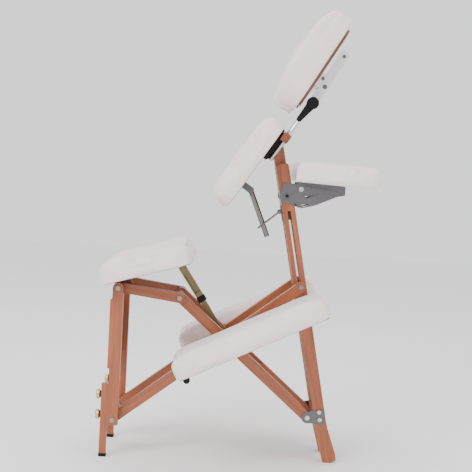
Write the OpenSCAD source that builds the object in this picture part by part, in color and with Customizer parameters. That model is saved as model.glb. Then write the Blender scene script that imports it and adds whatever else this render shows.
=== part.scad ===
// Kneeling massage chair: a folding beech frame with padded seat, knee rests,
// chest rest, armrest and face cradle. X is forward, Y across, Z up, in mm.

/* [Stance] */
// where the front post axis meets the floor
foot_x = 270; // [240:1:300]
// backward lean of the front post, degrees
post_lean = 11.5; // [8:0.5:15]
// height of the top of the post boards
post_top = 787; // [740:1:830]
// position of the rear posts
rear_x = -300; // [-320:1:-280]
// height of the rear floor pivot
rear_pivot_z = 98; // [90:1:110]
// height of the seat hinge
seat_hinge_z = 444; // [430:1:460]

/* [Timber] */
// width of the front post boards
post_width = 34; // [30:1:40]
// width of the leg cheeks
cheek_width = 30; // [26:1:34]
// width of the crossing beams
beam_width = 27; // [24:1:30]
// width of the seat rails
rail_width = 26; // [22:1:28]
// width of the rear posts
rear_width = 28; // [24:1:30]
// width of the slot the floor beams ride along
slot_width = 8.5; // [6:0.5:12]

/* [Seat] */
// slope of the seat, degrees
seat_slope = 16.4; // [8:0.2:20]
// seat length behind the hinge
seat_back = 34; // [15:1:40]
// seat length ahead of the hinge
seat_front = 208; // [190:1:240]
// half width of the seat
seat_half = 195; // [170:1:210]
// thickness of the seat foam
seat_foam = 42; // [30:1:60]

/* [Knee rests] */
// slope of the knee rests, degrees
knee_slope = 26; // [20:0.5:32]
// knee rest length below the stop bar
knee_low = 356; // [320:1:380]
// knee rest length above the stop bar
knee_high = 60; // [40:1:80]
// inner edge of a knee rest
knee_inner = 126.5; // [126:0.5:140]
// outer edge of a knee rest
knee_outer = 291.5; // [260:0.5:310]
// thickness of the knee foam
knee_foam = 50; // [35:1:60]

/* [Chest rest] */
// slope of the chest rest, degrees
chest_slope = 57; // [50:0.5:65]
// chest rest length below its hinge
chest_low = 206; // [180:1:230]
// chest rest length above its hinge
chest_high = 60; // [40:1:80]
// half width of the chest rest
chest_half = 145; // [120:1:170]
// thickness of the chest foam
chest_foam = 48; // [35:1:60]

/* [Armrest] */
// half width of the armrest
arm_half = 280; // [240:1:300]
// depth of the armrest, front to back
arm_depth = 216; // [180:1:230]
// thickness of the armrest foam
arm_foam = 50; // [35:0.5:60]
// forward fall of the armrest, degrees
arm_drop = 2.7; // [0:0.1:6]

/* [Face cradle] */
// slope of the face cradle, degrees
head_slope = 59.4; // [50:0.2:68]
// half width of the face cushion
head_half = 140; // [120:1:150]
// thickness of the cushion at its ends
head_foam = 57; // [45:1:65]
// half width of the face opening
face_half = 38; // [32:1:46]

/* [Hidden] */

$fn = 48;
beech = [0.80, 0.58, 0.36];
vinyl = [0.90, 0.87, 0.85];
grey_metal = [0.62, 0.63, 0.65];
bright_metal = [0.82, 0.83, 0.85];
brass_metal = [0.72, 0.57, 0.28];
dark_plastic = [0.10, 0.10, 0.11];
dark_wood = [0.35, 0.22, 0.15];
rubber_black = [0.08, 0.08, 0.08];

// fits
run = 0.05;
gap = 0.3;
blend = 0.1;

// layers across the chair, inner and outer faces from the middle
tongue_half = 21.7;
post_layer = [22, 44];
cheek_layer = [44.2, 66];
cross_layer = [44.5, 66];
plate_layer = [66.2, 68.4];
beam_layer = [66.5, 88];
rear_layer = [88.5, 112.5];
side_layer = [113.5, 125.5];
bracket_layer = [44.3, 46.8];
flange_layer = [41.3, 43.8];
tine_y = 38;

// pivots seen from the side
seat_hinge = [rear_x, seat_hinge_z];
floor_hinge = [rear_x, rear_pivot_z];
rail_hinge = [-141, 423];
leg_hinge = [212, 119];
slide_z = 467;
slide_pin = [post_x(slide_z), slide_z];
scissor = crossing(floor_hinge, slide_pin, rail_hinge, leg_hinge);
stop_z = 388;
stop_bar = [post_x(stop_z), stop_z];
chest_hinge = [99.3, 826];
tube_hinge = [31.6, 713.7];
tube_end = [82.4, 591];
bail_hinge = [112, 659.4];
bail_end = [57.4, 613.3];
head_hinge = [180.5, 949.8];
cradle_hinge = [210.2, 994.5];
arm_hinge = [163.6, 723.2];
arm_clamp = [127.3, 703.7];
arm_origin = [134, 744];
rod_offset = [-334.3, -2.8];
strut_top = [168, 4.1];

pin_r = 5;
rod_r = 6;
bolt_head = [6.5, 3.5];
board_thick = 8;
stud_r = 4;
stud_angle = 265;
slot_radius = 43.6;

function post_x(z) = foot_x - z * tan(post_lean);
function along(o, a, p) = [o[0] + p[0] * cos(a) - p[1] * sin(a), o[1] + p[0] * sin(a) + p[1] * cos(a)];
function within(o, a, p) = along([0, 0], -a, p - o);
function turn(a, b) = a[0] * b[1] - a[1] * b[0];
function crossing(a, b, c, d) = a + (b - a) * turn(c - a, d - c) / turn(b - a, d - c);
function heading(a, b) = atan2(b[1] - a[1], b[0] - a[0]);

strut_pin = along(seat_hinge, seat_slope, strut_top);
strut_angle = heading(scissor, strut_pin);
strut_length = norm(strut_pin - scissor);
knee_rod_at = along(stop_bar, knee_slope, rod_offset);
axle_in_knee = within(stop_bar, knee_slope, scissor);
head_reach = within(chest_hinge, chest_slope, head_hinge);
tube_foot = within(chest_hinge, chest_slope, tube_hinge);
mast_tip = within([foot_x, 0], 90 + post_lean, chest_hinge);
bail_local = within([foot_x, 0], 90 + post_lean, bail_hinge);
clamp_stud = along(arm_hinge, stud_angle, [slot_radius, 0]);

// a side profile given thickness between two distances from the middle
module slab(y0, y1) translate([0, y1, 0]) rotate([90, 0, 0]) linear_extrude(y1 - y0) children();

// the same on one side of the chair: 1 is left, -1 is right
module sided(side, layer) {
    if (side > 0) slab(layer[0], layer[1]) children();
    if (side < 0) slab(-layer[1], -layer[0]) children();
}

module both(layer) {
    sided(1, layer) children();
    sided(-1, layer) children();
}

module placed(o, a) translate([o[0], 0, o[1]]) rotate([0, -a, 0]) children();
module flat(o, a) translate(o) rotate(a) children();

// a pin or bore across the chair
module pin(p, r, y0, y1) translate([p[0], y1, p[1]]) rotate([90, 0, 0]) cylinder(r = r, h = y1 - y0);
module bore(p, r) pin(p, r, -400, 400);

module pins(p, r, layer) {
    pin(p, r, layer[0], layer[1]);
    pin(p, r, -layer[1], -layer[0]);
}

module bar(a, b, w) {
    flat(a, heading(a, b)) translate([0, -w / 2]) square([norm(b - a), w]);
    translate(a) circle(d = w - blend);
    translate(b) circle(d = w - blend);
}

module rounded(x0, x1, y0, y1, r) {
    translate([x0 + r, y0]) square([x1 - x0 - 2 * r, y1 - y0]);
    translate([x0, y0 + r]) square([x1 - x0, y1 - y0 - 2 * r]);
    for (x = [x0 + r, x1 - r], y = [y0 + r, y1 - r]) translate([x, y]) circle(r = r);
}

// a curved slot of a width about the origin, from angle a to angle b
module arc_slot(a, b, r, w) {
    reach = 2 * r;
    intersection() {
        difference() {
            circle(r = r + w / 2, $fn = 96);
            circle(r = r - w / 2, $fn = 96);
        }
        polygon([[0, 0], reach * [cos(a), sin(a)], reach * [cos(b), sin(b)]]);
    }
    for (c = [a, b]) rotate(c) translate([r, 0]) circle(d = w - blend);
}

// a plate lying in the local x, y plane between two local heights
module plate(z0, z1) translate([0, 0, z0]) linear_extrude(z1 - z0) children();

module on_post() placed([foot_x, 0], 90 + post_lean) children();
module on_seat() placed(seat_hinge, seat_slope) children();
module on_knee() placed(stop_bar, knee_slope) children();
module on_chest() placed(chest_hinge, chest_slope) children();
module on_cradle() placed(cradle_hinge, head_slope) children();
module on_arm() placed(arm_origin, -arm_drop) children();
module on_strut() placed(scissor, strut_angle) children();

// ---------------------------------------------------------------- front frame
post_start = 92;
slot_low = 480;
slot_high = 674;

module post_board(side) color(beech) difference() {
    on_post() sided(side, post_layer) difference() {
        rounded(post_start, post_top / cos(post_lean), -post_width / 2, post_width / 2, 6);
        bar([slot_low, 0], [slot_high, 0], slot_width);
    }
    bore(stop_bar, rod_r + run);
}
module post_board_left() post_board(1);
module post_board_right() post_board(-1);

tongue_width = 29;
tongue_low = 653;
module mast() color(beech) difference() {
    on_post() slab(-tongue_half, tongue_half) {
        translate([tongue_low, mast_tip[1] - tongue_width / 2])
            square([mast_tip[0] - tongue_low, tongue_width]);
        translate(mast_tip) circle(d = tongue_width);
    }
    bore(chest_hinge, stud_r + run);
}

cheek_top = 408;
flare_z = 93;
module leg_cheek(side) color(beech) difference() {
    sided(side, cheek_layer) union() {
        flat([foot_x, 0], 90 + post_lean) rounded(flare_z, cheek_top, -cheek_width / 2, cheek_width / 2, 6);
        polygon([[post_x(120) - 15.3, 120], [post_x(flare_z) - 17, flare_z], [260, 0], [271, 0], [295, 6],
            [293, 24], [post_x(flare_z) + 17, flare_z], [post_x(120) + 15.3, 120]]);
    }
    bore(stop_bar, rod_r + run);
}
module leg_cheek_left() leg_cheek(1);
module leg_cheek_right() leg_cheek(-1);

plate_bolts = [[243, 135.7], [245.7, 115.5]];
module hinge_plate(side) color(grey_metal) {
    sided(side, plate_layer) union() {
        translate(leg_hinge) circle(r = 15);
        polygon([leg_hinge + [-6, 14], [256, 144], [258, 140], [258, 108], [256, 104], leg_hinge + [-6, -14]]);
    }
    sided(side, [cross_layer[0] + 0.1, plate_layer[1]]) translate(leg_hinge) circle(r = pin_r);
    sided(side, [plate_layer[1] - 0.2, plate_layer[1] + bolt_head[1]]) {
        translate(leg_hinge) circle(r = bolt_head[0]);
        for (p = plate_bolts) translate(p) circle(r = 5.5);
    }
}
module hinge_plate_left() hinge_plate(1);
module hinge_plate_right() hinge_plate(-1);

module armrest_bracket(side) color(grey_metal) {
    sided(side, bracket_layer) difference() {
        union() {
            translate(arm_clamp) circle(r = 20);
            polygon([[112, 718], [115.6, 738], [170, 735], [178, 732], [258, 722],
                [262, 709], [203, 682], [168, 673], [144, 681], [127, 684]]);
        }
        translate(arm_hinge) arc_slot(249, 297, slot_radius, 5.5);
        polygon([[172, 712], [203, 710], [178, 699]]);
        translate(arm_clamp) circle(r = stud_r - 0.2);
    }
    sided(side, [bracket_layer[0] + 0.1, bracket_layer[1] + 8]) translate(arm_clamp) circle(r = stud_r);
    sided(side, [bracket_layer[1] - 0.2, bracket_layer[1] + 5]) translate(arm_clamp) circle(r = 7, $fn = 6);
    sided(side, [flange_layer[0] + 0.1, bracket_layer[1] + 3]) translate(arm_hinge) circle(r = stud_r);
    sided(side, [bracket_layer[1] - 0.2, bracket_layer[1] + 3]) translate(arm_hinge) circle(r = 6.5);
}
module armrest_bracket_left() armrest_bracket(1);
module armrest_bracket_right() armrest_bracket(-1);

stop_half = 205;
module knee_stop_bar() color(bright_metal) pin(stop_bar, rod_r, -stop_half, stop_half);

wire_r = 2.2;
wire_y = 10.5;
module bail_bracket() color(grey_metal) difference() {
    union() {
        on_post() slab(-18, 18) translate([650, 17.7]) square([44, 2]);
        on_post() both([13.2, 15.2]) union() {
            translate([bail_local[0] - 5.3, 17.7]) square([10.6, bail_local[1] - 17.7]);
            translate(bail_local) circle(r = 5.2);
        }
    }
    bore(bail_hinge, wire_r + run);
}

// ---------------------------------------------------------------- crossing beams
module cross_beam(side) color(beech) difference() {
    sided(side, cross_layer) bar(rail_hinge, leg_hinge, beam_width);
    bore(rail_hinge, pin_r + run);
    bore(scissor, pin_r + run);
    bore(leg_hinge, pin_r + run);
}
module cross_beam_left() cross_beam(1);
module cross_beam_right() cross_beam(-1);

tie_at = 190;
tie_half = 44.3;
module cross_beam_tie() color(beech) placed(leg_hinge, heading(leg_hinge, rail_hinge))
    slab(-tie_half, tie_half) rounded(tie_at - 22, tie_at + 22, -7, 7, 3);

module rail_bolts() color(grey_metal) {
    pins(rail_hinge, pin_r, [40, beam_layer[1] + 1]);
    pins(rail_hinge, bolt_head[0], [40, cross_layer[0] - gap]);
    pins(rail_hinge, bolt_head[0], [beam_layer[1] + gap, beam_layer[1] + 0.3 + bolt_head[1]]);
}

module floor_beam(side) color(beech) difference() {
    sided(side, beam_layer) bar(floor_hinge, slide_pin, beam_width);
    bore(floor_hinge, pin_r + run);
    bore(scissor, pin_r + run);
    bore(slide_pin, pin_r + run);
    bore(knee_rod_at, rod_r + run);
}
module floor_beam_left() floor_beam(1);
module floor_beam_right() floor_beam(-1);

module scissor_axle() color(grey_metal) pin(scissor, pin_r, -side_layer[1], side_layer[1]);

cap_r = 8.5;
module knee_rod() color(bright_metal) {
    pin(knee_rod_at, rod_r, -242, 242);
    pins(knee_rod_at, cap_r, [236, 248]);
}

bush_r = 9;
module slide_bolts() color(grey_metal) {
    pins(slide_pin, pin_r, [50, beam_layer[1] + 1]);
    pins(slide_pin, bush_r, [bracket_layer[1] + 0.7, beam_layer[0] - 0.1]);
    pins(slide_pin, bolt_head[0], [beam_layer[1] + 0.1, beam_layer[1] + bolt_head[1]]);
}

knee_board_low = 6.5;
knee_board_top = 11;
module knee_board(side) color(beech) difference() {
    union() {
        on_knee() sided(side, side_layer) union() {
            rounded(rod_offset[0] - 13, -20, -10, knee_board_top, 4);
            translate(rod_offset) circle(r = 13);
            translate([axle_in_knee[0] - 15, 0]) square([30, axle_in_knee[1]]);
            translate(axle_in_knee) circle(r = 15);
        }
        on_knee() sided(side, [side_layer[1] - 2, knee_outer - 11]) translate([11 - knee_low, knee_board_low])
            square([knee_low + knee_high - 22, knee_board_top - knee_board_low]);
    }
    bore(scissor, pin_r + run);
    bore(knee_rod_at, rod_r + run);
}
module knee_board_left() knee_board(1);
module knee_board_right() knee_board(-1);

knee_pad_low = 11.3;
module knee_pad(side) color(vinyl) on_knee() plate(knee_pad_low, knee_pad_low + knee_foam) {
    if (side > 0) rounded(-knee_low, knee_high, knee_inner, knee_outer, 24);
    if (side < 0) rounded(-knee_low, knee_high, -knee_outer, -knee_inner, 24);
}
module knee_pad_left() knee_pad(1);
module knee_pad_right() knee_pad(-1);

// ---------------------------------------------------------------- rear legs
rear_mid = 100.5;
knob_heights = [163.6, 110.1];
post_face = rear_x - rear_width / 2;
module rear_post(side) color(beech) difference() {
    sided(side, rear_layer) union() {
        translate([post_face, rear_pivot_z - 14]) square([rear_width, seat_hinge_z - rear_pivot_z + 14]);
        translate(seat_hinge) circle(d = rear_width);
    }
    bore(seat_hinge, pin_r + run);
    bore(floor_hinge, pin_r + run);
    for (z = knob_heights) translate([post_face - 1, side * rear_mid, z]) rotate([0, 90, 0])
        cylinder(r = stud_r + run, h = 20);
}
module rear_post_left() rear_post(1);
module rear_post_right() rear_post(-1);

panel_z = [233, 412];
panel_half = 112;
module back_panel() color(beech) translate([post_face - 5.1, -panel_half, panel_z[0]])
    cube([5, 2 * panel_half, panel_z[1] - panel_z[0]]);

module rear_leg_bolts() color(grey_metal) {
    pins(seat_hinge, pin_r, [rear_layer[0] + 0.1, rear_layer[1] + 1]);
    pins(seat_hinge, bolt_head[0], [rear_layer[1] + 0.1, rear_layer[1] + bolt_head[1]]);
    pins(floor_hinge, pin_r, [60, rear_layer[1] + 1]);
    pins(floor_hinge, bolt_head[0], [rear_layer[1] + 0.1, rear_layer[1] + bolt_head[1]]);
    pins(floor_hinge, bolt_head[0], [60, beam_layer[0] - gap]);
}

extension_depth = 17.8;
extension_half = 9;
slide_slot = [62, 184];
slide_half = 4.4;
foot_height = 8;
extension_top = 192;
module leg_extension(side) color(beech) difference() {
    translate([post_face - extension_depth - 0.2, side * rear_mid - extension_half, foot_height + 0.05])
        cube([extension_depth, 2 * extension_half, extension_top - foot_height]);
    translate([post_face - 30, side * rear_mid - slide_half, slide_slot[0]])
        cube([40, 2 * slide_half, slide_slot[1] - slide_slot[0]]);
}
module leg_extension_left() leg_extension(1);
module leg_extension_right() leg_extension(-1);

foot_half = 9.5;
module rubber_foot(side) color(rubber_black)
    translate([post_face - extension_depth / 2 - foot_half - 0.2, side * rear_mid - foot_half - 1, 0])
        cube([2 * foot_half, 2 * foot_half + 2, foot_height]);
module rubber_foot_left() rubber_foot(1);
module rubber_foot_right() rubber_foot(-1);

knob_face = post_face - extension_depth - 0.5;
module clamp_knob(side, z) color(brass_metal) translate([knob_face, side * rear_mid, z]) rotate([0, -90, 0]) {
    rotate_extrude() polygon([[0, 0], [9, 0], [9, 3], [13, 4], [13, 10.5], [11, 12.7], [0, 12.7]]);
    translate([0, 0, -31]) cylinder(r = stud_r, h = 32);
}
module clamp_knob_1() clamp_knob(1, knob_heights[0]);
module clamp_knob_2() clamp_knob(1, knob_heights[1]);
module clamp_knob_3() clamp_knob(-1, knob_heights[0]);
module clamp_knob_4() clamp_knob(-1, knob_heights[1]);

// ---------------------------------------------------------------- seat
module seat_rail(side) color(beech) difference() {
    sided(side, beam_layer) bar(seat_hinge, rail_hinge, rail_width);
    bore(seat_hinge, rod_r + run);
    bore(rail_hinge, pin_r + run);
}
module seat_rail_left() seat_rail(1);
module seat_rail_right() seat_rail(-1);

module seat_hinge_rod() color(grey_metal) pin(seat_hinge, rod_r, -88.2, 88.2);

seat_low = 22;
seat_board_thick = 10;
cleat_layer = [46, 66.2];
module seat_board() color(dark_wood) difference() {
    on_seat() union() {
        plate(seat_low, seat_low + seat_board_thick)
            rounded(8 - seat_back, seat_front - 8, 8 - seat_half, seat_half - 8, 20);
        both(cleat_layer) {
            translate([-11, 0]) square([44, seat_low + 1]);
            circle(r = 11);
        }
    }
    bore(seat_hinge, rod_r + run);
}

module seat_pad() color(vinyl) on_seat()
    plate(seat_low + seat_board_thick + 0.1, seat_low + seat_board_thick + seat_foam)
    rounded(-seat_back, seat_front, -seat_half, seat_half, 34);

clevis_layer = [7.8, 10.3];
module strut_clevis() color(brass_metal) on_seat() {
    both(clevis_layer) {
        translate([strut_top[0] - 9, strut_top[1]]) square([18, seat_low - 0.1 - strut_top[1]]);
        translate(strut_top) circle(r = 9);
    }
    both([clevis_layer[1] - 0.1, clevis_layer[1] + 3]) translate(strut_top) circle(r = 5.5);
    slab(-clevis_layer[1] - 6, clevis_layer[1] + 6)
        translate([strut_top[0] - 14, seat_low - 2.1]) square([28, 2]);
}

// ---------------------------------------------------------------- strut
spacer_layer = [9.3, 44.2];
module strut_foot() color(brass_metal) difference() {
    pins(scissor, 8, spacer_layer);
    bore(scissor, pin_r + run);
}

strut_split = 124;
bar_reach = 138;
bar_n = 7.4;
bar_y = 4.7;
module strut_lower() color(brass_metal) difference() {
    on_strut() union() {
        slab(-9, 9) circle(r = 10);
        slab(-bar_y, bar_y)
            polygon([[4, -4.5], [96, -bar_n], [bar_reach, -bar_n], [bar_reach, bar_n], [96, bar_n], [4, 4.5]]);
    }
    bore(scissor, pin_r + run);
}

channel_n = 10;
channel_y = 7;
hollow_n = 7.7;
hollow_y = 5;
catch_n = 11.5;
catch_y = 8.6;
module strut_upper() color(brass_metal) on_strut() {
    difference() {
        slab(-channel_y, channel_y) {
            translate([strut_split, -channel_n]) square([strut_length - strut_split, 2 * channel_n]);
            translate([strut_length, 0]) circle(r = channel_n - blend);
        }
        slab(-channel_y - 1, hollow_y) translate([strut_split - 1, -hollow_n]) square([76, 2 * hollow_n]);
    }
    difference() {
        slab(-catch_y, catch_y) translate([strut_split - 14, -catch_n]) square([16, 2 * catch_n]);
        slab(-hollow_y, hollow_y) translate([strut_split - 20, -hollow_n]) square([30, 2 * hollow_n]);
    }
}

// ---------------------------------------------------------------- chest rest
chest_low_face = 22;
module chest_board() color(dark_wood) on_chest() plate(chest_low_face, chest_low_face + board_thick)
    rounded(10 - chest_low, chest_high - 10, 10 - chest_half, chest_half - 10, 42);

module chest_pad() color(vinyl) on_chest()
    plate(chest_low_face + board_thick + 0.1, chest_low_face + board_thick + chest_foam)
    rounded(-chest_low, chest_high, -chest_half, chest_half, 52);

tine_n = 1.5;
bar_half = 62;
module chest_crossbar() color(beech) on_chest() difference() {
    slab(-bar_half, bar_half) rounded(21.5, 45.5, -8, 14, 3);
    for (y = [-tine_y, tine_y]) translate([0, y, tine_n]) rotate([0, 90, 0]) cylinder(r = rod_r + run, h = 80);
}

module prong_guides() color(dark_plastic) on_chest() both([30, 46]) {
    translate([-41, 9]) square([61, chest_low_face - 9.1]);
    translate([19, 15]) square([29, chest_low_face - 15.1]);
}

ear_layer = [22.2, 25.2];
tube_layer = [8, 10.5];
module chest_hardware() color(grey_metal) {
    on_chest() both(ear_layer) {
        translate([-8, 0]) square([16, chest_low_face - 0.1]);
        circle(r = 8.1);
    }
    pin(chest_hinge, stud_r, -ear_layer[1] - 3, ear_layer[1] + 3);
    pins(chest_hinge, 6, [ear_layer[1] - 0.1, ear_layer[1] + 3]);
    on_chest() both(tube_layer) {
        translate([tube_foot[0] - 9, tube_foot[1]]) square([18, chest_low_face - 0.1 - tube_foot[1]]);
        translate(tube_foot) circle(r = 9.1);
    }
    on_chest() slab(-22, 22) translate([tube_foot[0] - 12, chest_low_face - 2.1]) square([24, 2]);
    pin(tube_hinge, 3, -tube_layer[1], tube_layer[1]);
}

tube_r = 7.2;
module ratchet_tube() color(bright_metal) difference() {
    placed(tube_hinge, heading(tube_hinge, tube_end)) {
        rotate([0, 90, 0]) cylinder(r = tube_r, h = norm(tube_end - tube_hinge));
        sphere(r = tube_r);
    }
    bore(tube_hinge, 3 + run);
}

module bail_wire() color(bright_metal) {
    pin(bail_hinge, wire_r, -16.5, 16.5);
    pin(bail_end, wire_r, -wire_y - wire_r, wire_y + wire_r);
    for (y = [-wire_y, wire_y]) translate([bail_hinge[0], y, bail_hinge[1]])
        rotate([0, 90 - heading(bail_hinge, bail_end), 0])
            cylinder(r = wire_r - 0.3, h = norm(bail_end - bail_hinge));
}

// ---------------------------------------------------------------- headrest
tine_low = 35;
module prongs() color(bright_metal) {
    on_chest() for (y = [-tine_y, tine_y]) translate([-tine_low, y, tine_n]) rotate([0, 90, 0])
        cylinder(r = rod_r, h = head_reach[0] + tine_low);
    pin(head_hinge, 9, -40, 40);
    pin(head_hinge, pin_r, -60, 50);
}

arm_layer = [44.3, 47.3];
module head_arms() color(grey_metal) difference() {
    both(arm_layer) bar(head_hinge, cradle_hinge, 23);
    bore(head_hinge, pin_r + run);
    bore(cradle_hinge, stud_r + run);
}

lever_tip = [147.5, 906.8];
lever_length = norm(lever_tip - head_hinge);
module cam_lever() color(dark_plastic) difference() {
    union() {
        pin(head_hinge, 16, -63, -47.6);
        placed(head_hinge, heading(head_hinge, lever_tip)) slab(-61, -50) {
            polygon([[6, -12], [lever_length, -7], [lever_length, 7], [6, 12]]);
            translate([lever_length, 0]) circle(r = 6.9);
        }
    }
    pin(head_hinge, pin_r + run, -60.3, 0);
}

cradle_layer = [41, 44];
cradle_board_low = 26.5;
plate_rivets = [[15.7, 15.8], [94.1, 1.3]];
module cradle_bracket() color(grey_metal) on_cradle() {
    both(cradle_layer) {
        rounded(-11, 106, -10, 13, 5);
        translate([4, 8]) square([25.3, cradle_board_low - 8.1]);
        translate([-19, 8]) square([12, cradle_board_low - 8.1]);
        translate([-19, 8]) square([30, 5]);
    }
    slab(-cradle_layer[1], cradle_layer[1]) translate([4, cradle_board_low - 2.6]) square([16, 2.5]);
    both([cradle_layer[1] - 0.1, arm_layer[1] + 2]) circle(r = stud_r);
    both([arm_layer[1] + 0.1, arm_layer[1] + 2]) circle(r = 6);
    for (p = plate_rivets) both([cradle_layer[1] - 0.1, cradle_layer[1] + 2]) translate(p) circle(r = 4.5);
}

cradle_board_half = 112;
module cradle_board() color(dark_wood) on_cradle()
    plate(cradle_board_low, cradle_board_low + board_thick) difference() {
        rounded(-78, 156, -cradle_board_half, cradle_board_half, 60);
        rounded(-140, 92, -face_half - 3, face_half + 3, face_half);
    }

cushion_low = 34.6;
cushion_ends = [-102, 181];
crown_r = 354;
crown_top = 62 + head_foam;
module face_cushion() color(vinyl) on_cradle() intersection() {
    plate(cushion_low, cushion_low + 100) difference() {
        rounded(cushion_ends[0], cushion_ends[1], -head_half, head_half, 74);
        rounded(-200, 90, -face_half, face_half, face_half - 2);
    }
    translate([(cushion_ends[0] + cushion_ends[1]) / 2, 200, crown_top - crown_r]) rotate([90, 0, 0])
        cylinder(r = crown_r, h = 400, $fn = 180);
}

// ---------------------------------------------------------------- armrest
arm_hollow = 22;
hollow_r = 1252;
module armrest_pad() color(vinyl) on_arm() plate(0.1, arm_foam) difference() {
    rounded(-1, arm_depth - 1, -arm_half, arm_half, 42);
    translate([arm_hollow - hollow_r, 0]) circle(r = hollow_r, $fn = 720);
}

module armrest_channel() color(grey_metal) {
    difference() {
        both(flange_layer) {
            polygon([[151.5, 712], [151.5, 741], [281, 735], [281, 712], [262, 708], [175, 706]]);
            bar(arm_hinge, clamp_stud, 12);
        }
        bore(arm_hinge, stud_r + run);
    }
    on_arm() slab(-flange_layer[1], flange_layer[1]) translate([24, -3]) square([123, 2.9]);
    both([flange_layer[1] - 0.1, bracket_layer[1] + 3]) translate(clamp_stud) circle(r = 2.5);
    both([bracket_layer[1] + 0.2, bracket_layer[1] + 3]) translate(clamp_stud) circle(r = 5.5);
    both([flange_layer[1] - 0.1, flange_layer[1] + 0.4]) translate([257, 720]) circle(r = 4);
}

post_board_left();
post_board_right();
mast();
leg_cheek_left();
leg_cheek_right();
hinge_plate_left();
hinge_plate_right();
armrest_bracket_left();
armrest_bracket_right();
knee_stop_bar();
bail_bracket();
cross_beam_left();
cross_beam_right();
cross_beam_tie();
rail_bolts();
floor_beam_left();
floor_beam_right();
scissor_axle();
knee_rod();
slide_bolts();
knee_board_left();
knee_board_right();
knee_pad_left();
knee_pad_right();
rear_post_left();
rear_post_right();
back_panel();
rear_leg_bolts();
leg_extension_left();
leg_extension_right();
rubber_foot_left();
rubber_foot_right();
clamp_knob_1();
clamp_knob_2();
clamp_knob_3();
clamp_knob_4();
seat_rail_left();
seat_rail_right();
seat_hinge_rod();
seat_pad();
seat_board();
strut_clevis();
strut_foot();
strut_lower();
strut_upper();
chest_pad();
chest_board();
chest_crossbar();
prong_guides();
chest_hardware();
ratchet_tube();
bail_wire();
prongs();
cam_lever();
head_arms();
cradle_bracket();
cradle_board();
face_cushion();
armrest_pad();
armrest_channel();
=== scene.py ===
"""Kneeling massage chair: materials, upholstered pads, floor, light and camera.

Units are metres, with X forward, Y to the left and Z up.
"""

import math
import bpy
from mathutils import Matrix, Vector, noise


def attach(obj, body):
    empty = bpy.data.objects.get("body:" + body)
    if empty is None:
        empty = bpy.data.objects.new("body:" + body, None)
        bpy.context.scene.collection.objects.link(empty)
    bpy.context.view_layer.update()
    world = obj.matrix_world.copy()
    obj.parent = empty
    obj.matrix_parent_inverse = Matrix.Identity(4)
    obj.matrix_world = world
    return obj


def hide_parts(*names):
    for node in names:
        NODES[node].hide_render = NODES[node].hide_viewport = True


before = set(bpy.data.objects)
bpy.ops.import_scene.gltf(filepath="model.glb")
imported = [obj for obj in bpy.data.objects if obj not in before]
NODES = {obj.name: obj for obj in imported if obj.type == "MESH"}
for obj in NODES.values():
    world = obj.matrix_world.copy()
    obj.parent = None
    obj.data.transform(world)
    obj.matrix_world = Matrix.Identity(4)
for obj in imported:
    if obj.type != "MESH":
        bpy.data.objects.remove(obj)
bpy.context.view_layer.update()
scene = bpy.context.scene

# ---------------------------------------------------------------- materials


class Graph:
    """A material's nodes, with short calls to add and join them."""

    def __init__(self, name):
        self.mat = bpy.data.materials.new(name)
        self.mat.use_nodes = True
        self.tree = self.mat.node_tree
        self.shader = self.tree.nodes["Principled BSDF"]

    def add(self, kind, **values):
        node = self.tree.nodes.new(kind)
        for key, value in values.items():
            setattr(node, key, value)
        return node

    def join(self, a, b):
        self.tree.links.new(a, b)

    def set(self, **values):
        for key, value in values.items():
            self.shader.inputs[key.replace("_", " ")].default_value = value

    def coords(self, turn=0.0, scale=(1, 1, 1)):
        """Object coordinates turned so that local x runs at an angle in the side view, then scaled."""
        source = self.add("ShaderNodeTexCoord")
        first = self.add("ShaderNodeMapping")
        first.inputs["Rotation"].default_value = (0, math.radians(turn), 0)
        second = self.add("ShaderNodeMapping")
        second.inputs["Scale"].default_value = scale
        self.join(source.outputs["Object"], first.inputs["Vector"])
        self.join(first.outputs["Vector"], second.inputs["Vector"])
        return second.outputs["Vector"]

    def noise(self, vector, scale, detail=4.0, rough=0.5, distort=0.0):
        node = self.add("ShaderNodeTexNoise")
        node.inputs["Scale"].default_value = scale
        node.inputs["Detail"].default_value = detail
        node.inputs["Roughness"].default_value = rough
        node.inputs["Distortion"].default_value = distort
        self.join(vector, node.inputs["Vector"])
        return node.outputs["Fac"]

    def ramp(self, value, *stops):
        node = self.add("ShaderNodeValToRGB")
        ramp = node.color_ramp
        ramp.elements[0].position, ramp.elements[0].color = stops[0][0], (*stops[0][1], 1)
        ramp.elements[1].position, ramp.elements[1].color = stops[-1][0], (*stops[-1][1], 1)
        for place, colour in stops[1:-1]:
            ramp.elements.new(place).color = (*colour, 1)
        self.join(value, node.inputs["Fac"])
        return node.outputs["Color"]

    def bump(self, value, strength, distance):
        node = self.add("ShaderNodeBump")
        node.inputs["Strength"].default_value = strength
        node.inputs["Distance"].default_value = distance
        self.join(value, node.inputs["Height"])
        return node

    def span(self, value, low, high):
        node = self.add("ShaderNodeMapRange")
        node.inputs["To Min"].default_value = low
        node.inputs["To Max"].default_value = high
        self.join(value, node.inputs["Value"])
        return node.outputs["Result"]


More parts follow.
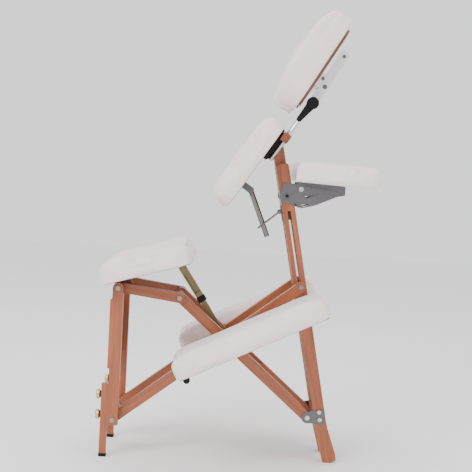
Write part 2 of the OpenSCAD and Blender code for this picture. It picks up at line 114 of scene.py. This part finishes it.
def wood(name, turn, tones, rough=0.42):
    """Varnished wood: broad figure and fine grain along one direction, in three tones."""
    dark, mid, light = tones
    g = Graph(name)
    grain = g.coords(turn, (3.2, 46, 46))
    broad = g.noise(grain, 1.0, 3, 0.5, 1.6)
    fine = g.noise(g.coords(turn, (22, 620, 620)), 1.0, 4, 0.6)
    mix = g.add("ShaderNodeMix", data_type="FLOAT")
    mix.inputs["Factor"].default_value = 0.42
    g.join(broad, mix.inputs["A"])
    g.join(fine, mix.inputs["B"])
    colour = g.ramp(mix.outputs["Result"], (0.30, dark), (0.5, mid), (0.70, light))
    g.join(colour, g.shader.inputs["Base Color"])
    g.join(g.span(fine, rough - 0.06, rough + 0.10), g.shader.inputs["Roughness"])
    g.join(g.bump(fine, 0.25, 0.0004).outputs["Normal"], g.shader.inputs["Normal"])
    g.set(Coat_Weight=0.18, Coat_Roughness=0.28)
    return g.mat


BEECH_TONES = (0.195, 0.046, 0.014), (0.285, 0.074, 0.024), (0.37, 0.108, 0.038)
PLYWOOD_TONES = (0.10, 0.035, 0.018), (0.16, 0.055, 0.028), (0.22, 0.08, 0.042)


def beech(turn):
    return wood(f"beech_{turn}", turn, BEECH_TONES)


def plywood(turn):
    return wood(f"plywood_{turn}", turn, PLYWOOD_TONES, 0.55)


def metal(name, colour, rough, turn=0, brushed=True, weight=1.0):
    """Metal with fine lines along one direction if brushed, and an even grain if not."""
    g = Graph(name)
    g.set(Metallic=weight)
    lines = g.noise(g.coords(turn, (40, 900, 900) if brushed else (700, 700, 700)), 1.0, 3, 0.6)
    tone = tuple(0.86 * c for c in colour)
    g.join(g.ramp(lines, (0.30, tone), (0.70, colour)), g.shader.inputs["Base Color"])
    g.join(g.span(lines, rough - 0.07, rough + 0.10), g.shader.inputs["Roughness"])
    g.join(g.bump(lines, 0.12, 0.0002).outputs["Normal"], g.shader.inputs["Normal"])
    return g.mat


def coated(name, colour, rough):
    """Dull plastic or rubber with a fine speckle."""
    g = Graph(name)
    specks = g.noise(g.coords(0, (1, 1, 1)), 1400, 3, 0.6)
    tone = tuple(0.90 * c for c in colour)
    g.join(g.ramp(specks, (0.35, tone), (0.65, colour)), g.shader.inputs["Base Color"])
    g.join(g.bump(specks, 0.22, 0.0003).outputs["Normal"], g.shader.inputs["Normal"])
    g.set(Roughness=rough, Specular_IOR_Level=0.2)
    return g.mat


def vinyl():
    """Upholstery vinyl: small leather cells, soft creases and a slight change of tone."""
    g = Graph("vinyl")
    vector = g.coords()
    cells = g.add("ShaderNodeTexVoronoi", feature="DISTANCE_TO_EDGE")
    cells.inputs["Scale"].default_value = 620
    g.join(vector, cells.inputs["Vector"])
    creases = g.noise(vector, 21, 3, 0.55, 0.6)
    grain = g.bump(cells.outputs["Distance"], 0.16, 0.0005)
    folds = g.bump(creases, 0.10, 0.004)
    g.join(grain.outputs["Normal"], folds.inputs["Normal"])
    g.join(folds.outputs["Normal"], g.shader.inputs["Normal"])
    tone = g.noise(vector, 9, 4, 0.5)
    colour = g.ramp(tone, (0.30, (0.81, 0.68, 0.69)), (0.70, (0.86, 0.735, 0.745)))
    g.join(colour, g.shader.inputs["Base Color"])
    g.set(Roughness=0.50, Coat_Weight=0.06, Coat_Roughness=0.4)
    return g.mat


VINYL = vinyl()
STEEL = metal("bolt_steel", (0.30, 0.29, 0.29), 0.34, brushed=False)
BOLT = metal("bolt_bright", (0.60, 0.59, 0.59), 0.30, brushed=False)
BRASS = metal("knob_brass", (0.70, 0.52, 0.22), 0.32, brushed=False)
OLD_BRASS = metal("strut_brass", (0.23, 0.18, 0.095), 0.38, 124)
CHROME = metal("chrome_rod", (0.72, 0.73, 0.75), 0.16, brushed=False)
TUBE = metal("tube_steel", (0.20, 0.195, 0.19), 0.24, -67)
GREY = metal("bracket_grey", (0.145, 0.14, 0.15), 0.40, 12, weight=0.7)
PALE = metal("cradle_steel", (0.90, 0.90, 0.92), 0.30, 60, weight=0.25)
BLACK = coated("black_plastic", (0.006, 0.006, 0.0065), 0.42)
RUBBER = coated("foot_rubber", (0.010, 0.010, 0.010), 0.75)

# The angle of the grain, in degrees in the side view, and the pieces that have it.
GRAIN = {
    102: ("post_board_left", "post_board_right", "mast", "leg_cheek_left", "leg_cheek_right"),
    -41: ("cross_beam_left", "cross_beam_right"),
    38: ("floor_beam_left", "floor_beam_right"),
    90: ("rear_post_left", "rear_post_right", "leg_extension_left", "leg_extension_right", "back_panel"),
    -8: ("seat_rail_left", "seat_rail_right"),
    26: ("knee_board_left", "knee_board_right"),
    57: ("chest_crossbar",),
    33: ("cross_beam_tie",),
}
MATERIALS = {}
for angle, names in GRAIN.items():
    MATERIALS.update(dict.fromkeys(names, beech(angle)))
for names, material in (
    (("seat_board",), plywood(16)),
    (("chest_board",), plywood(57)),
    (("cradle_board",), plywood(59)),
    (("rail_bolts", "scissor_axle", "slide_bolts", "rear_leg_bolts", "seat_hinge_rod"), STEEL),
    (("clamp_knob_1", "clamp_knob_2", "clamp_knob_3", "clamp_knob_4"), BRASS),
    (("strut_clevis", "strut_foot", "strut_lower", "strut_upper"), OLD_BRASS),
    (("knee_stop_bar", "knee_rod", "prongs"), CHROME),
    (("ratchet_tube", "bail_wire"), TUBE),
    (("hinge_plate_left", "hinge_plate_right", "armrest_bracket_left", "armrest_bracket_right",
      "bail_bracket", "chest_hardware", "armrest_channel"), GREY),
    (("head_arms", "cradle_bracket"), PALE),
    (("prong_guides", "cam_lever"), BLACK),
    (("rubber_foot_left", "rubber_foot_right"), RUBBER),
):
    MATERIALS.update(dict.fromkeys(names, material))

for name, obj in NODES.items():
    if name in MATERIALS:
        obj.data.materials.clear()
        obj.data.materials.append(MATERIALS[name])


def second_material(name, material, test):
    """Gives the faces of a CAD node whose centre passes the test another material."""
    mesh = NODES[name].data
    mesh.materials.append(material)
    for face in mesh.polygons:
        if test(face.center):
            face.material_index = len(mesh.materials) - 1


ROD_CAP = 0.2355
CLAMP_BOLT, CLAMP_STUD_R, CLAMP_NUT_FACE = (0.1273, 0.7037), 0.0042, 0.0520
ARM_PIN, ARM_PIN_HEAD_R, BRACKET_FACE = (0.1636, 0.7232), 0.0070, 0.0469
HINGE_PLATE_FACE = 0.0685
CRADLE_PLATE_FACE = 0.0441
KNOB_WASHER = -0.3362, -0.3318
SCISSOR, CATCH_END = (-0.018, 0.3171), 0.1262


def near(c, place, radius):
    """Tells whether a point lies within a radius of a place in the side view."""
    return math.hypot(c.x - place[0], c.z - place[1]) < radius


second_material("knee_rod", BLACK, lambda c: abs(c.y) > ROD_CAP)
for side in ("left", "right"):
    bracket = f"armrest_bracket_{side}"
    second_material(bracket, BLACK,
                    lambda c: near(c, CLAMP_BOLT, CLAMP_STUD_R) and abs(c.y) > CLAMP_NUT_FACE)
    second_material(bracket, BOLT,
                    lambda c: near(c, ARM_PIN, ARM_PIN_HEAD_R) and abs(c.y) > BRACKET_FACE)
    second_material(f"hinge_plate_{side}", BOLT, lambda c: abs(c.y) > HINGE_PLATE_FACE)
second_material("cradle_bracket", GREY, lambda c: abs(c.y) > CRADLE_PLATE_FACE)
for number in (1, 2, 3, 4):
    second_material(f"clamp_knob_{number}", BLACK, lambda c: KNOB_WASHER[0] < c.x < KNOB_WASHER[1])
second_material("strut_upper", BLACK, lambda c: near(c, SCISSOR, CATCH_END))

# ---------------------------------------------------------------- upholstery


def local_to_row(origin, slope):
    """Matrix from a pad's own frame (x along it, y across, z off its board) to the row frame."""
    tilt = Matrix.Rotation(-math.radians(slope), 4, "Y")
    return Matrix.Translation(Vector((origin[0], 0, origin[1]))) @ tilt


def outline(x0, x1, y0, y1, radius, steps=10):
    """A rounded rectangle, anticlockwise."""
    points = []
    for cx, cy, first in ((x1 - radius, y1 - radius, 0), (x0 + radius, y1 - radius, 90),
                          (x0 + radius, y0 + radius, 180), (x1 - radius, y0 + radius, 270)):
        for i in range(steps + 1):
            a = math.radians(first + 90 * i / steps)
            points.append((cx + radius * math.cos(a), cy + radius * math.sin(a)))
    return points


def lofted(name, rings):
    """A closed solid through equal rings of points, capped at both ends."""
    count = len(rings[0])
    points = [p for ring in rings for p in ring]
    last = (len(rings) - 1) * count
    faces = [tuple(range(count - 1, -1, -1)), tuple(range(last, last + count))]
    for k in range(len(rings) - 1):
        for i in range(count):
            j = (i + 1) % count
            faces.append((k * count + i, k * count + j, (k + 1) * count + j, (k + 1) * count + i))
    mesh = bpy.data.meshes.new(name)
    mesh.from_pydata(points, [], faces)
    mesh.update()
    obj = bpy.data.objects.new(name, mesh)
    scene.collection.objects.link(obj)
    return obj


def applied(obj):
    """Makes an object's modifiers part of its mesh."""
    graph = bpy.context.evaluated_depsgraph_get()
    mesh = bpy.data.meshes.new_from_object(obj.evaluated_get(graph), depsgraph=graph)
    obj.modifiers.clear()
    obj.data = mesh
    return obj


# How far each start shape is inside its pad, because cloth swells.
INSET = 0.001


def box_start(name, x, y, z, corner, edge):
    """A pad's start shape: straight sides, then a rounded top edge."""
    x0, x1 = x[0] + INSET, x[1] - INSET
    y0, y1 = y[0] + INSET, y[1] - INSET
    z0, z1 = z[0], z[1] - INSET
    rings = []
    levels = [(0.0, z0), (0.0, z1 - edge)]
    for i in range(1, 7):
        a = math.radians(90 * i / 6)
        levels.append((edge * (1 - math.cos(a)), z1 - edge + edge * math.sin(a)))
    for cut, height in levels:
        ring = outline(x0 + cut, x1 - cut, y0 + cut, y1 - cut, max(corner - cut, 0.004))
        rings.append([(px, py, height) for px, py in ring])
    return lofted(name, rings)


# A pad is held below this height over its board's underside, simulated for this many frames,
# and keeps this share of any movement that sinks it.
HELD_HEIGHT, CLOTH_FRAMES, SINK_KEPT = 0.004, 20, 0.3


def inflate(obj, floor, voxel, cap, pressure=4.0):
    """Remeshes a start shape and lets pressure fill it out as cloth, held along its board."""
    remesh = obj.modifiers.new("remesh", "REMESH")
    remesh.mode = "VOXEL"
    remesh.voxel_size = voxel
    applied(obj)
    rest = [v.co.copy() for v in obj.data.vertices]
    outward = [v.normal.copy() for v in obj.data.vertices]
    held = obj.vertex_groups.new(name="held")
    for i, p in enumerate(rest):
        if p.z < floor + HELD_HEIGHT:
            held.add([i], 1.0, "REPLACE")
    cloth = obj.modifiers.new("cloth", "CLOTH")
    settings = cloth.settings
    settings.quality = 5
    settings.mass = 0.35
    settings.tension_stiffness = settings.compression_stiffness = 22
    settings.shear_stiffness = 12
    settings.bending_stiffness = 1.2
    settings.use_pressure = True
    settings.uniform_pressure_force = pressure
    settings.vertex_group_mass = "held"
    settings.effector_weights.gravity = 0
    cloth.collision_settings.use_collision = False
    cloth.point_cache.frame_start, cloth.point_cache.frame_end = 1, CLOTH_FRAMES
    for number in range(1, CLOTH_FRAMES + 1):
        scene.frame_set(number)
    applied(obj)
    scene.frame_set(1)
    obj.vertex_groups.clear()
    for vertex, p, normal in zip(obj.data.vertices, rest, outward):
        move = vertex.co - p
        sunk = min(0.0, move.dot(normal))
        move -= normal * (sunk * (1 - SINK_KEPT))
        if move.length > cap:
            vertex.co = p + move * (cap / move.length)
        if vertex.co.z < floor:
            vertex.co.z = floor
    return obj


def groove(obj, depth, width, place):
    """Presses a seam into the skin where place(point) gives a small distance in metres."""
    mesh = obj.data
    normals = [v.normal.copy() for v in mesh.vertices]
    for vertex, normal in zip(mesh.vertices, normals):
        d = place(vertex.co)
        if d < 3 * width:
            vertex.co -= normal * depth * math.exp(-(d / width) ** 2)


def dress(obj, matrix, node, body):
    """Subdivides, smooths, places and declares a finished pad."""
    sub = obj.modifiers.new("smooth", "SUBSURF")
    sub.levels = sub.render_levels = 1
    applied(obj)
    obj.data.transform(matrix)
    obj.data.materials.clear()
    obj.data.materials.append(VINYL)
    for face in obj.data.polygons:
        face.use_smooth = True
    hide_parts(node)
    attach(obj, body)


def rumple(obj, size, height, floor, seed):
    """Small, uneven give in the skin, none at the board."""
    for vertex in obj.data.vertices:
        p = vertex.co
        up = min(1.0, max(0.0, (p.z - floor) / 0.02))
        n = noise.noise(Vector((p.x / size + seed, p.y / size, p.z / size)))
        vertex.co = p + vertex.normal * (height * n * up)


# Skin of a flat pad: voxel of its remesh, the rumples' size and height, and its piping seam.
VOXEL = 0.006
RUMPLE_SIZE, RUMPLE_HEIGHT = 0.06, 0.0012
SEAM_DEPTH, SEAM_WIDTH, SEAM_RISE = 0.0014, 0.0035, 0.007


def block_pad(name, node, body, origin, slope, x, y, z, corner, edge, seed):
    """A flat pad with rounded corners, on a board that slopes by an angle in degrees."""
    obj = inflate(box_start(name, x, y, z, corner, edge), z[0], VOXEL, 0.005)
    rumple(obj, RUMPLE_SIZE, RUMPLE_HEIGHT, z[0], seed)
    groove(obj, SEAM_DEPTH, SEAM_WIDTH, lambda p: abs(p.z - (z[0] + SEAM_RISE)))
    dress(obj, local_to_row(origin, slope), node, body)


# Origin of each pad's own frame, as X and Z in the row frame.
SEAT = (-0.300, 0.444)
STOP = (0.270 - 0.388 * math.tan(math.radians(11.5)), 0.388)
CHEST = (0.0993, 0.826)
ARM = (0.134, 0.744)
CRADLE = (0.2102, 0.9945)
# Height of the armrest's and the face cushion's undersides in their own frames.
ARM_FLOOR, FACE_FLOOR = 0.0003, 0.0346

block_pad("seat_cushion", "seat_pad", "seat", SEAT, 16.4, (-0.034, 0.208), (-0.195, 0.195), (0.0224, 0.074),
          0.034, 0.017, seed=1.0)
for side, across, seed in (("left", (0.1265, 0.2915), 2.0), ("right", (-0.2915, -0.1265), 3.0)):
    block_pad(f"knee_cushion_{side}", f"knee_pad_{side}", "floor_beams", STOP, 26, (-0.356, 0.060), across,
              (0.0069, 0.0613), 0.024, 0.018, seed)
block_pad("chest_cushion", "chest_pad", "chest", CHEST, 57, (-0.206, 0.060), (-0.145, 0.145), (0.0224, 0.078),
          0.052, 0.024, seed=4.0)


def arm_start():
    """The armrest's start shape: rounded front corners and a hollow rear edge."""
    edge, top, depth, half = 0.017, 0.050, 0.215, 0.280
    front_corner, hollow, hollow_scale = 0.040, 0.022, 2.504
    side_depth, rear_depth, chamfer = 0.0310, 0.0290, (0.006, 0.007)

    def ring(cut, height):
        a = INSET + cut
        r = front_corner - cut
        points = []
        for cx, cy, first in ((depth - a - r, half - a - r, 0), (depth - a - r, -(half - a - r), 270)):
            arc = []
            for i in range(13):
                t = math.radians(first + 90 * i / 12)
                arc.append((cx + r * math.cos(t), cy + r * math.sin(t), height))
            points.append(arc)
        rear = []
        for i in range(41):
            y = (half - hollow - a) * (1 - 2 * i / 40)
            rear.append((hollow - y * y / hollow_scale + a, y, height))
        left = [(hollow - side_depth + a + hollow, half - a, height),
                (hollow - rear_depth + a + chamfer[0], half - a - chamfer[1], height)]
        right = [(px, -py, height) for px, py, _ in reversed(left)]
        return points[0] + left + rear + right + points[1]

    rings = [ring(0, ARM_FLOOR), ring(0, top - INSET - edge)]
    for i in range(1, 7):
        t = math.radians(90 * i / 6)
        rings.append(ring(edge * (1 - math.cos(t)), top - INSET - edge + edge * math.sin(t)))
    return lofted("arm_cushion", rings)


arm = inflate(arm_start(), ARM_FLOOR, VOXEL, 0.004)
rumple(arm, RUMPLE_SIZE, RUMPLE_HEIGHT, 0.0, 5.0)
groove(arm, SEAM_DEPTH, SEAM_WIDTH, lambda p: abs(p.z - SEAM_RISE))
dress(arm, local_to_row(ARM, -2.7), "armrest_pad", "armrest")


def cradle_start():
    """The face cushion's start shape: a thick horseshoe, open at the chin, with a crowned top."""
    edge, lip = 0.009, 0.010
    x0, x1, half, corner, slot_half, slot_end = -0.102, 0.181, 0.140, 0.074, 0.038, 0.090
    crown_r, crown_x, crown_top = 0.354, 0.0395, 0.119

    def crown(x):
        return math.sqrt(crown_r ** 2 - (x - crown_x) ** 2) - crown_r + crown_top

    def ring(cut, level):
        a = INSET + cut
        outer = []
        r = corner - a
        for cx, cy, first in ((x1 - corner, half - corner, 0), (x0 + corner, half - corner, 90)):
            for i in range(17):
                t = math.radians(first + 90 * i / 16)
                outer.append((cx + r * math.cos(t), cy + r * math.sin(t)))
        tip = x0 + a
        wall = slot_half + a
        outer.append((tip, wall + lip))
        outer.append((tip + 0.3 * lip, wall + 0.3 * lip))
        outer.append((tip + lip, wall))
        mid = slot_end - slot_half
        for i in range(12):
            outer.append((tip + lip + (mid - tip - lip) * (i + 1) / 13, wall))
        for i in range(13):
            t = math.radians(90 - 90 * i / 12)
            outer.append((mid + wall * math.cos(t), wall * math.sin(t)))
        mirrored = [(px, -py) for px, py in reversed(outer[:-1])]
        return [(px, py, level(px)) for px, py in outer + mirrored]

    def shoulder(rise):
        return lambda x: crown(x) - INSET - edge + rise

    rings = [ring(0, lambda x: FACE_FLOOR), ring(0, shoulder(0))]
    for i in range(1, 6):
        t = math.radians(90 * i / 5)
        rings.append(ring(edge * (1 - math.cos(t)), shoulder(edge * math.sin(t))))
    return lofted("face_ring", rings)


ZIP_HEIGHT, ZIP_START, NO_ZIP = 0.080, 0.07, 0.02
face_ring = inflate(cradle_start(), FACE_FLOOR, 0.005, 0.003, 3.0)
rumple(face_ring, 0.05, 0.0016, FACE_FLOOR, 6.0)
groove(face_ring, 0.0024, 0.003, lambda p: abs(p.z - ZIP_HEIGHT) + (NO_ZIP if p.x < ZIP_START else 0))
dress(face_ring, local_to_row(CRADLE, 59.4), "face_cushion", "cradle")

# ---------------------------------------------------------------- floor, light, camera
FLOOR_SIZE, FLOOR_DROP = 14, 0.0002
bpy.ops.mesh.primitive_plane_add(size=FLOOR_SIZE, location=(0, 0, -FLOOR_DROP))
floor = bpy.context.object
floor.name = "floor"
paint = Graph("floor_paint")
paint.set(Base_Color=(0.93, 0.93, 0.93, 1), Roughness=0.85)
floor.data.materials.append(paint.mat)

world = scene.world or bpy.data.worlds.new("studio")
scene.world = world
world.use_nodes = True
back = world.node_tree.nodes["Background"]
back.inputs["Color"].default_value = (1, 1, 1, 1)
back.inputs["Strength"].default_value = 1.35


def lamp(name, place, target, size, power):
    data = bpy.data.lights.new(name, "AREA")
    data.shape = "RECTANGLE"
    data.size, data.size_y = size
    data.energy = power
    obj = bpy.data.objects.new(name, data)
    obj.location = place
    obj.rotation_euler = (Vector(target) - Vector(place)).to_track_quat("-Z", "Y").to_euler()
    scene.collection.objects.link(obj)


lamp("key", (-1.6, -2.2, 2.6), (0, 0, 0.6), (1.6, 1.6), 78)
lamp("fill", (2.2, -1.8, 1.4), (0, 0, 0.6), (1.6, 1.6), 16)
lamp("top", (0.0, 0.6, 3.0), (0, 0, 0.5), (2.0, 2.0), 30)


def photo_camera():
    """The camera stands level with the armrest, tips down a little and is rolled by about 3 degrees."""
    place = (-0.0451, -2.8423, 0.7640)
    yaw, pitch, roll = 0.01552, -0.06185, 0.05334
    forward = Vector((math.sin(yaw) * math.cos(pitch), math.cos(yaw) * math.cos(pitch), math.sin(pitch)))
    level = Vector((math.cos(yaw), -math.sin(yaw), 0))
    plumb = level.cross(forward)
    right = level * math.cos(roll) + plumb * math.sin(roll)
    up = plumb * math.cos(roll) - level * math.sin(roll)
    matrix = Matrix((right, up, -forward)).transposed().to_4x4()
    matrix.translation = Vector(place)
    data = bpy.data.cameras.new("camera")
    data.sensor_width = 36
    data.lens = 80.80
    obj = bpy.data.objects.new("camera", data)
    obj.matrix_world = matrix
    scene.collection.objects.link(obj)
    scene.camera = obj


photo_camera()
